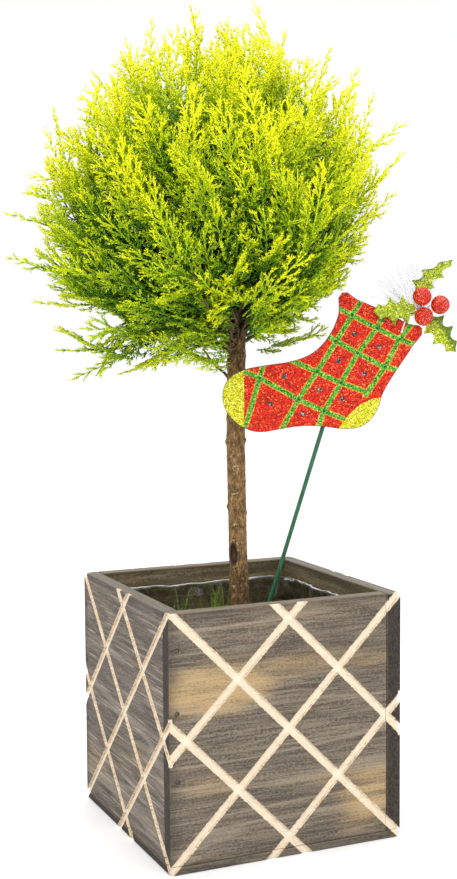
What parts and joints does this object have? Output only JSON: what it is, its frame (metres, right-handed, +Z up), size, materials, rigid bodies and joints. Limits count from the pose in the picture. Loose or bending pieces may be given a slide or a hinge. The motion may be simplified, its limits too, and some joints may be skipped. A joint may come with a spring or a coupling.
{
  "type": "artificial tabletop tree",
  "caption": "Ball topiary on a bare trunk in a square wooden planter with a lattice routed in its faces, and a glittered stocking on a stick pushed in beside it.",
  "frame": {"origin": "centre of the planter's underside, which the object stands on", "axes": "+Z up along the trunk; -Y out of the planter's front face; +X to the right seen from the front"},
  "size_m": [0.2538, 0.2404, 0.5086],
  "materials": {
    "weathered_wood": "matte",
    "nail_steel": "satin",
    "clear_film": "gloss",
    "plaster": "matte",
    "foam": "matte",
    "moss": "matte",
    "bark": "matte",
    "foliage": "matte",
    "red_glitter": "satin",
    "gold_glitter": "satin",
    "berry_glitter": "satin",
    "green_lacquer": "gloss",
    "tinsel": "gloss",
    "tie_wire": "satin"
  },
  "bodies": {
    "planter": {"back_board": "weathered_wood", "base_board": "weathered_wood", "base_nail_back": "nail_steel", "base_nail_front": "nail_steel", "base_nail_left": "nail_steel", "base_nail_right": "nail_steel", "front_board": "weathered_wood", "left_board": "weathered_wood", "nail_back_left_1": "nail_steel", "nail_back_left_2": "nail_steel", "nail_back_left_3": "nail_steel", "nail_back_right_1": "nail_steel", "nail_back_right_2": "nail_steel", "nail_back_right_3": "nail_steel", "nail_front_left_1": "nail_steel", "nail_front_left_2": "nail_steel", "nail_front_left_3": "nail_steel", "nail_front_right_1": "nail_steel", "nail_front_right_2": "nail_steel", "nail_front_right_3": "nail_steel", "right_board": "weathered_wood"},
    "tree": {"ballast_block": "plaster", "foam_block": "foam", "moss_bed": "moss", "plastic_liner": "clear_film", "spray_crown_1": "foliage", "spray_low_1": "foliage", "spray_low_2": "foliage", "spray_low_3": "foliage", "spray_shoulder_1": "foliage", "spray_shoulder_2": "foliage", "spray_shoulder_3": "foliage", "spray_shoulder_4": "foliage", "spray_shoulder_5": "foliage", "spray_skirt_1": "foliage", "spray_skirt_2": "foliage", "spray_skirt_3": "foliage", "spray_skirt_4": "foliage", "spray_skirt_5": "foliage", "spray_skirt_6": "foliage", "spray_waist_1": "foliage", "spray_waist_2": "foliage", "spray_waist_3": "foliage", "spray_waist_4": "foliage", "spray_waist_5": "foliage", "spray_waist_6": "foliage", "spray_waist_7": "foliage", "trunk": "bark"},
    "pick": {"berry_1": "berry_glitter", "berry_2": "berry_glitter", "berry_3": "berry_glitter", "holly_leaf_down": "gold_glitter", "holly_leaf_left": "gold_glitter", "holly_leaf_up": "gold_glitter", "pick_stick": "green_lacquer", "stocking_board": "red_glitter", "tie_wire": "tie_wire", "tinsel_fan": "tinsel"}
  },
  "joints": [
    {"name": "tree_lift", "type": "slide", "parent": "planter", "child": "tree", "axis": [0, 0, 1], "range_m": [0, 0.16]},
    {"name": "pick_pull", "type": "slide", "parent": "tree", "child": "pick", "axis": [0.2671, -0.1189, 0.9563], "range_m": [0, 0.05]}
  ]
}
